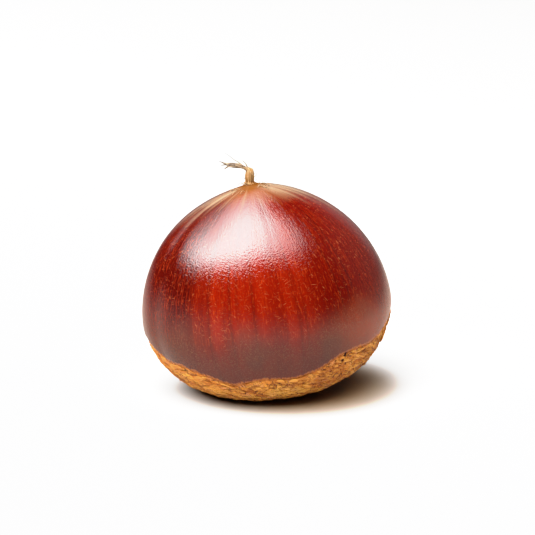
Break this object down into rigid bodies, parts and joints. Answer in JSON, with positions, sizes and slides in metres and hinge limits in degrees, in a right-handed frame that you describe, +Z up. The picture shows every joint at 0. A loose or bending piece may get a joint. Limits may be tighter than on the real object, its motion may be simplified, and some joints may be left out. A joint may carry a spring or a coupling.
{
  "type": "chestnut",
  "caption": "Whole sweet chestnut in its glossy shell, with a rough pale scar at its base and a dry tuft on its pointed tip.",
  "frame": {"origin": "On the surface the nut rests on, under the middle of its bounding box.", "axes": "+Z is up as the nut lies on its base scar, +X runs along its width to the right as seen in the picture, and +Y runs away from that viewer through its thickness."},
  "size_m": [0.0355, 0.0266, 0.0347],
  "materials": {
    "shell": "smooth glossy red-brown shell with fine streaks, paler round the tip",
    "base_scar": "rough matt golden-ochre scar with brown fissures",
    "dry_tuft": "dry, matt, tan plant fibres"
  },
  "bodies": {
    "root": {"chestnut": "shell"}
  },
  "joints": []
}
